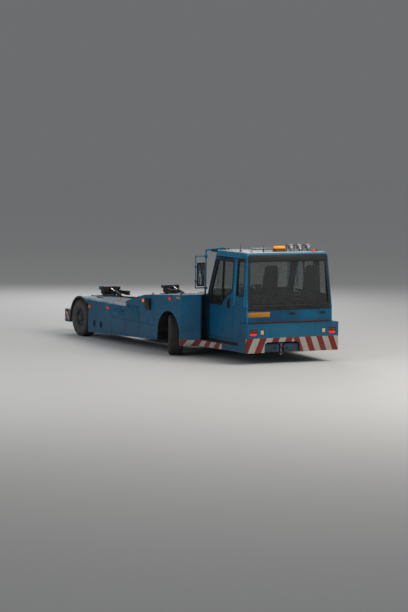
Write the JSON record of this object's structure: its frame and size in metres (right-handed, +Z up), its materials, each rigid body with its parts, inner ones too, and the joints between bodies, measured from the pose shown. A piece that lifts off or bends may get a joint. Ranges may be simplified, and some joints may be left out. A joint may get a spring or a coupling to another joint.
{
  "type": "aircraft pushback tractor",
  "caption": "Towbarless pushback tractor with an end cab, a low deck, long arms round a nose gear cradle, clamps and steered wheels.",
  "frame": {"origin": "on the ground, at the middle of the machine's length and width", "axes": "+X towards the cab end, +Y towards the right-hand side seen from behind the arms, +Z up"},
  "size_m": [10.17, 4.704, 3.28],
  "materials": {
    "body_paint": "satin blue paint, dulled by dust",
    "stripe_paint": "red and white slanted stripes",
    "frame_paint": "dark chassis paint",
    "black_paint": "worn black paint",
    "engine_iron": "rough",
    "rim_paint": "dusty blue paint",
    "rod_chrome": "polished",
    "tyre_rubber": "matt",
    "floor_rubber": "matt",
    "black_plastic": "grained",
    "seat_cloth": "woven",
    "cab_glass": "lightly tinted",
    "amber_lens": "clear amber lens",
    "red_lens": "clear red lens",
    "clear_lens": "clear lens",
    "mirror_glass": "silvered glass",
    "fittings_steel": "worn bare steel",
    "grey_plastic": "grained",
    "seal_rubber": "smooth window and door seals",
    "label_orange": "blank reflective sheet",
    "label_beige": "blank plate"
  },
  "bodies": {
    "chassis": {"main_frame": "body_paint", "engine": "engine_iron", "front_axle": "frame_paint", "deck_body": "body_paint", "arm_left": "body_paint", "arm_right": "body_paint", "fenders": "body_paint", "arm_bumpers": "body_paint", "stub_axles": "frame_paint", "bumper": "body_paint", "tow_jaw": "frame_paint", "skirts": "stripe_paint", "cab_floor": "floor_rubber", "cab_end_wall": "body_paint", "cab_side_left": "body_paint", "cab_side_right": "body_paint", "cab_deck_wall": "body_paint", "cab_roof": "body_paint", "cab_glass": "cab_glass", "seats": "seat_cloth", "dashboard": "black_plastic", "steering_wheel": "black_plastic", "mirrors": "black_plastic", "beacon": "amber_lens", "roof_gear": "black_plastic", "head_lamps": "black_plastic", "red_lamps": "red_lens", "clear_lamps": "clear_lens", "amber_lamps": "amber_lens", "clamp_brackets": "frame_paint"},
    "hood": {"engine_hood": "body_paint"},
    "cradle": {"cradle": "black_paint"},
    "door_left": {"door_left": "body_paint", "door_glass_left": "cab_glass"},
    "knuckle_left": {"knuckle_left": "frame_paint"},
    "wheel_front_left": {"tyre_front_left": "tyre_rubber", "rim_front_left": "rim_paint"},
    "wheel_rear_left": {"tyre_rear_left": "tyre_rubber", "rim_rear_left": "rim_paint"},
    "clamp_tower_left": {"clamp_tower_left": "black_paint"},
    "clamp_arm_left": {"clamp_arm_left": "black_paint"},
    "barrel_left": {"barrel_left": "black_paint"},
    "rod_left": {"rod_left": "rod_chrome"},
    "door_right": {"door_right": "body_paint", "door_glass_right": "cab_glass"},
    "knuckle_right": {"knuckle_right": "frame_paint"},
    "wheel_front_right": {"tyre_front_right": "tyre_rubber", "rim_front_right": "rim_paint"},
    "wheel_rear_right": {"tyre_rear_right": "tyre_rubber", "rim_rear_right": "rim_paint"},
    "clamp_tower_right": {"clamp_tower_right": "black_paint"},
    "clamp_arm_right": {"clamp_arm_right": "black_paint"},
    "barrel_right": {"barrel_right": "black_paint"},
    "rod_right": {"rod_right": "rod_chrome"}
  },
  "joints": [
    {"name": "hood_lift", "type": "hinge", "parent": "chassis", "child": "hood", "pos_m": [1.7279, 0, 1.72541], "axis": [0, 1, 0], "range_deg": [0, 60]},
    {"name": "cradle_lift", "type": "hinge", "parent": "chassis", "child": "cradle", "pos_m": [-0.995, 0, 0.64], "axis": [0, 1, 0], "range_deg": [0, 9]},
    {"name": "door_swing_left", "type": "hinge", "parent": "chassis", "child": "door_left", "pos_m": [2.758, -1.395, 1.1], "axis": [0, 0, -1], "range_deg": [0, 60]},
    {"name": "steer_left", "type": "hinge", "parent": "chassis", "child": "knuckle_left", "pos_m": [1.865, -1.88, 0.575], "axis": [0, 0, 1], "range_deg": [-13, 67]},
    {"name": "roll_front_left", "type": "hinge", "parent": "knuckle_left", "child": "wheel_front_left", "pos_m": [1.83776, -1.93346, 0.575], "axis": [0.454, 0.891, 0], "continuous": true},
    {"name": "roll_rear_left", "type": "hinge", "parent": "chassis", "child": "wheel_rear_left", "pos_m": [-4.015, -1.975, 0.575], "axis": [0, 1, 0], "continuous": true},
    {"name": "clamp_lift_left", "type": "hinge", "parent": "chassis", "child": "clamp_tower_left", "pos_m": [-4.115, -1.1, 1.32], "axis": [0, -1, 0], "range_deg": [0, 20]},
    {"name": "clamp_swing_left", "type": "hinge", "parent": "clamp_tower_left", "child": "clamp_arm_left", "pos_m": [-4.085, -0.83, 1.35], "axis": [0, 0, 1], "range_deg": [0, 90]},
    {"name": "barrel_tilt_left", "type": "hinge", "parent": "chassis", "child": "barrel_left", "pos_m": [-3.415, -1.1, 1.305], "axis": [0, 1, 0], "range_deg": [-0.5, 4]},
    {"name": "rod_slide_left", "type": "slide", "parent": "barrel_left", "child": "rod_left", "axis": [-0.9751, 0, 0.2216], "range_m": [-0.005, 0.07]},
    {"name": "door_swing_right", "type": "hinge", "parent": "chassis", "child": "door_right", "pos_m": [2.758, 1.395, 1.1], "axis": [0, 0, 1], "range_deg": [0, 60]},
    {"name": "steer_right", "type": "hinge", "parent": "chassis", "child": "knuckle_right", "pos_m": [1.865, 1.88, 0.575], "axis": [0, 0, 1], "range_deg": [-13, 67]},
    {"name": "roll_front_right", "type": "hinge", "parent": "knuckle_right", "child": "wheel_front_right", "pos_m": [1.89224, 1.93346, 0.575], "axis": [0.454, 0.891, 0], "continuous": true},
    {"name": "roll_rear_right", "type": "hinge", "parent": "chassis", "child": "wheel_rear_right", "pos_m": [-4.015, 1.975, 0.575], "axis": [0, 1, 0], "continuous": true},
    {"name": "clamp_lift_right", "type": "hinge", "parent": "chassis", "child": "clamp_tower_right", "pos_m": [-4.115, 1.1, 1.32], "axis": [0, -1, 0], "range_deg": [0, 20]},
    {"name": "clamp_swing_right", "type": "hinge", "parent": "clamp_tower_right", "child": "clamp_arm_right", "pos_m": [-4.085, 0.83, 1.35], "axis": [0, 0, -1], "range_deg": [0, 90]},
    {"name": "barrel_tilt_right", "type": "hinge", "parent": "chassis", "child": "barrel_right", "pos_m": [-3.415, 1.1, 1.305], "axis": [0, 1, 0], "range_deg": [-0.5, 4]},
    {"name": "rod_slide_right", "type": "slide", "parent": "barrel_right", "child": "rod_right", "axis": [-0.9751, 0, 0.2216], "range_m": [-0.005, 0.07]}
  ],
  "couplings": [
    {"joint": "barrel_tilt_left", "follows": "clamp_lift_left", "ratio": 0.15347},
    {"joint": "rod_slide_left", "follows": "clamp_lift_left", "m_per_rad": 0.16128},
    {"joint": "barrel_tilt_right", "follows": "clamp_lift_right", "ratio": 0.15347},
    {"joint": "rod_slide_right", "follows": "clamp_lift_right", "m_per_rad": 0.16128},
    {"joint": "steer_right", "follows": "steer_left", "ratio": 1}
  ]
}
